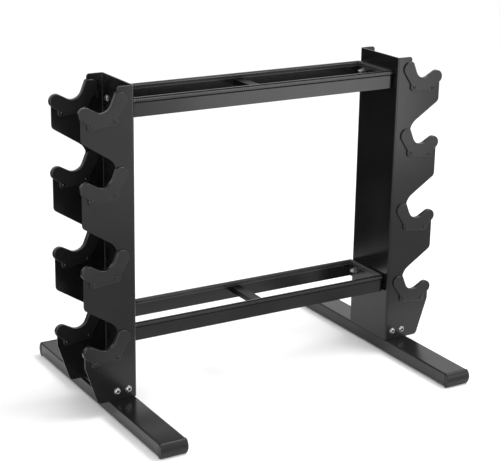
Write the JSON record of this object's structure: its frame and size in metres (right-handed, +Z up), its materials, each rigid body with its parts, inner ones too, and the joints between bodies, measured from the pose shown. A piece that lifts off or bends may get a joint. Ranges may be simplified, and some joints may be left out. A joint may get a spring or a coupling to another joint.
{
  "type": "dumbbell rack",
  "caption": "Floor-standing rack with two bent-steel hooked uprights lined with plastic saddles, tubular feet and open shelf frames between them.",
  "frame": {"origin": "on the floor, under the middle of the rack's overall box", "axes": "+X to the right along the shelves, +Y from the front to the back, +Z up"},
  "size_m": [0.733, 0.5046, 0.578],
  "materials": {
    "black_steel": "semi-gloss black powder coat",
    "black_plastic": "satin",
    "grey_rubber": "ribbed, satin",
    "zinc_steel": "bright zinc plate"
  },
  "bodies": {
    "root": {"right_upright": "black_steel", "right_foot": "black_steel", "right_foot_bracket": "black_steel", "right_front_foot_cap": "black_plastic", "right_front_saddle_bottom": "black_plastic", "right_front_saddle_lower": "black_plastic", "right_front_saddle_upper": "black_plastic", "right_front_saddle_top": "black_plastic", "right_front_foot_bolt_1": "zinc_steel", "right_front_foot_bolt_2": "zinc_steel", "right_back_foot_cap": "black_plastic", "right_back_saddle_bottom": "black_plastic", "right_back_saddle_lower": "black_plastic", "right_back_saddle_upper": "black_plastic", "right_back_saddle_top": "black_plastic", "right_back_foot_bolt_1": "zinc_steel", "right_back_foot_bolt_2": "zinc_steel", "right_lower_shelf_bolt_1": "zinc_steel", "right_lower_shelf_bolt_2": "zinc_steel", "right_top_shelf_bolt_1": "zinc_steel", "right_top_shelf_bolt_2": "zinc_steel", "left_upright": "black_steel", "left_foot": "black_steel", "left_foot_bracket": "black_steel", "left_front_foot_cap": "black_plastic", "left_front_saddle_bottom": "black_plastic", "left_front_saddle_lower": "black_plastic", "left_front_saddle_upper": "black_plastic", "left_front_saddle_top": "black_plastic", "left_front_foot_bolt_1": "zinc_steel", "left_front_foot_bolt_2": "zinc_steel", "left_back_foot_cap": "black_plastic", "left_back_saddle_bottom": "black_plastic", "left_back_saddle_lower": "black_plastic", "left_back_saddle_upper": "black_plastic", "left_back_saddle_top": "black_plastic", "left_back_foot_bolt_1": "zinc_steel", "left_back_foot_bolt_2": "zinc_steel", "left_lower_shelf_bolt_1": "zinc_steel", "left_lower_shelf_bolt_2": "zinc_steel", "left_top_shelf_bolt_1": "zinc_steel", "left_top_shelf_bolt_2": "zinc_steel", "lower_shelf_frame": "black_steel", "lower_shelf_trim": "grey_rubber", "lower_shelf_brace": "black_steel", "top_shelf_frame": "black_steel", "top_shelf_trim": "grey_rubber", "top_shelf_brace": "black_steel"}
  },
  "joints": []
}
